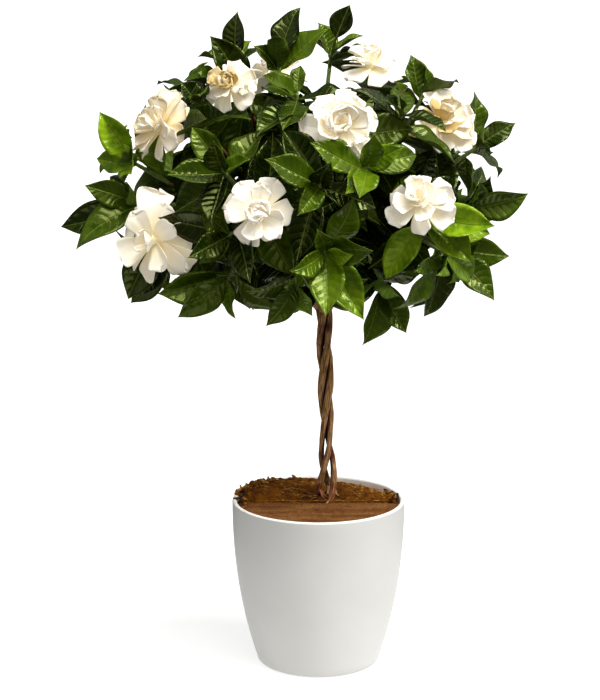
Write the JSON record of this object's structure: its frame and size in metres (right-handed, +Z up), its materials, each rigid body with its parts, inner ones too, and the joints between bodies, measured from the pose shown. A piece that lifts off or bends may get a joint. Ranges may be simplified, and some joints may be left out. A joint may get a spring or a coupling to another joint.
{
  "type": "potted gardenia tree",
  "caption": "Gardenia grown as a small standard tree: a round leafy crown with double white blooms on a trunk of twisted stems, in a plain white tapered pot.",
  "frame": {"origin": "middle of the pot's flat underside", "axes": "+Z up along the trunk; -Y towards the viewer of the picture; +X to the viewer's right"},
  "size_m": [0.4641, 0.369, 0.682],
  "materials": {
    "pot": "satin white",
    "soil": "matt, finely crumbled",
    "coir": "rough, fibrous",
    "bark": "dry, lightly fissured",
    "leaf": "glossy, waxy",
    "young_leaf": "glossy, soft",
    "petal_white": "velvety",
    "petal_cream": "velvety, ageing"
  },
  "bodies": {
    "root": {"pot": "pot", "soil": "soil", "coir_mulch": "coir", "stem_1": "bark", "stem_2": "bark", "stem_3": "bark", "shoot_01": "leaf", "bloom_01": "petal_cream", "shoot_02": "leaf", "bloom_02": "petal_cream", "shoot_03": "leaf", "bloom_03": "petal_white", "shoot_04": "leaf", "bloom_04": "petal_white", "shoot_05": "leaf", "bloom_05": "petal_cream", "shoot_06": "leaf", "bloom_06": "petal_cream", "shoot_07": "leaf", "bloom_07": "petal_white", "shoot_08": "leaf", "bloom_08": "petal_white", "shoot_09": "young_leaf", "shoot_10": "leaf", "shoot_11": "young_leaf", "shoot_12": "leaf", "shoot_13": "leaf", "shoot_14": "leaf", "shoot_15": "young_leaf", "shoot_16": "leaf", "shoot_17": "young_leaf", "shoot_18": "leaf", "shoot_19": "leaf", "shoot_20": "leaf", "shoot_21": "leaf", "shoot_22": "leaf", "shoot_23": "leaf", "shoot_24": "leaf", "shoot_25": "leaf", "shoot_26": "leaf", "shoot_27": "leaf", "shoot_28": "leaf", "shoot_29": "leaf", "shoot_30": "leaf", "shoot_31": "leaf", "shoot_32": "leaf", "bloom_32": "petal_white", "shoot_33": "leaf", "shoot_34": "leaf", "shoot_35": "leaf", "bloom_35": "petal_white", "shoot_36": "leaf", "shoot_37": "leaf", "shoot_38": "leaf", "shoot_39": "leaf", "shoot_40": "leaf", "shoot_41": "leaf", "shoot_42": "leaf"}
  },
  "joints": []
}
